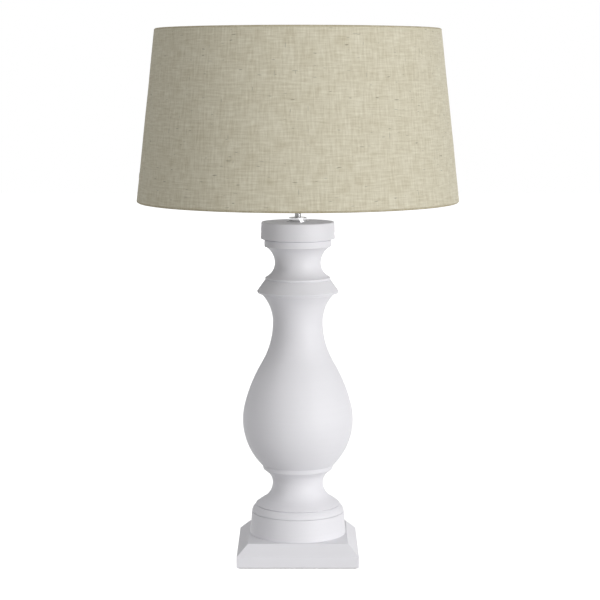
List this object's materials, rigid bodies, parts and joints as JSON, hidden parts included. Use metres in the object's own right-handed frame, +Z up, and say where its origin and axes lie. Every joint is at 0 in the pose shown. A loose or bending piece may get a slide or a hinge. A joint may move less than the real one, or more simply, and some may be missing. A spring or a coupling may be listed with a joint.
{
  "type": "column table lamp",
  "caption": "Table lamp with a square bevelled plinth, a turned white column and a tapered drum shade in oatmeal linen.",
  "frame": {"origin": "under the middle of the plinth, at the level the lamp stands on", "axes": "+Z up along the column, -Y towards the viewer of the picture (front), +Y the side where the lead leaves, +X to the right"},
  "size_m": [0.5001, 0.5, 0.8279],
  "materials": {
    "felt": "pressed wool felt, matt",
    "white_paint": "turned and planed wood, satin white paint",
    "bush_plastic": "moulded, matt",
    "chrome": "bright plated",
    "zinc_steel": "zinc plated",
    "porcelain": "unglazed white steatite",
    "brass": "plain rolled brass",
    "white_plastic": "moulded thermoplastic, satin",
    "white_enamel": "white stoved enamel on steel",
    "lining_film": "white shade laminate, matt",
    "linen": "oatmeal linen, slubbed plain weave",
    "linen_edge": "the same linen, rolled over the wire",
    "solder": "tinned, dull",
    "cap_glass": "black vitreous insulator",
    "bulb_cap_metal": "drawn nickel finish",
    "clear_glass": "clear",
    "phosphor": "yellow phosphor coat",
    "frame_wire": "bright wire"
  },
  "bodies": {
    "stand": {"felt_pad": "felt", "plinth": "white_paint", "cable_bush": "bush_plastic", "column": "white_paint", "tie_tube": "chrome", "bottom_washer": "zinc_steel", "spring_washer": "zinc_steel", "bottom_nut": "zinc_steel", "neck_washer": "chrome", "lock_ring": "chrome", "holder_cup": "chrome", "grub_screw": "zinc_steel", "holder_insert": "porcelain", "screw_shell": "brass", "centre_contact": "brass", "terminal_screw_live": "brass", "terminal_screw_neutral": "brass", "holder_sleeve": "white_plastic", "lower_shade_ring": "white_plastic"},
    "shade": {"shade_fitter": "white_enamel", "shade_arm_1": "white_enamel", "shade_arm_2": "white_enamel", "shade_arm_3": "white_enamel", "bottom_wire_ring": "white_enamel", "top_wire_ring": "white_enamel", "shade_lining": "lining_film", "shade_linen": "linen", "bottom_rolled_edge": "linen_edge", "top_rolled_edge": "linen_edge"},
    "shade_ring": {"upper_shade_ring": "white_plastic"},
    "bulb_foot": {"bulb_tip": "solder"},
    "bulb": {"bulb_insulator": "cap_glass", "bulb_cap": "bulb_cap_metal", "bulb_glass": "clear_glass", "bulb_stem": "clear_glass", "filaments": "phosphor", "filament_frame": "frame_wire"}
  },
  "joints": [
    {"name": "shade_turn", "type": "hinge", "parent": "stand", "child": "shade", "pos_m": [0, 0, 0.6066], "axis": [0, 0, 1], "continuous": true},
    {"name": "shade_ring_lift", "type": "slide", "parent": "stand", "child": "shade_ring", "axis": [0, 0, 1], "range_m": [0, 0.008]},
    {"name": "bulb_lift", "type": "slide", "parent": "stand", "child": "bulb_foot", "axis": [0, 0, 1], "range_m": [0, 0.02187]},
    {"name": "bulb_turn", "type": "hinge", "parent": "bulb_foot", "child": "bulb", "pos_m": [0, 0, 0.5982], "axis": [0, 0, 1], "range_deg": [0, 2160]}
  ],
  "couplings": [
    {"joint": "bulb_lift", "follows": "bulb_turn", "m_per_rad": 0.00057757}
  ]
}
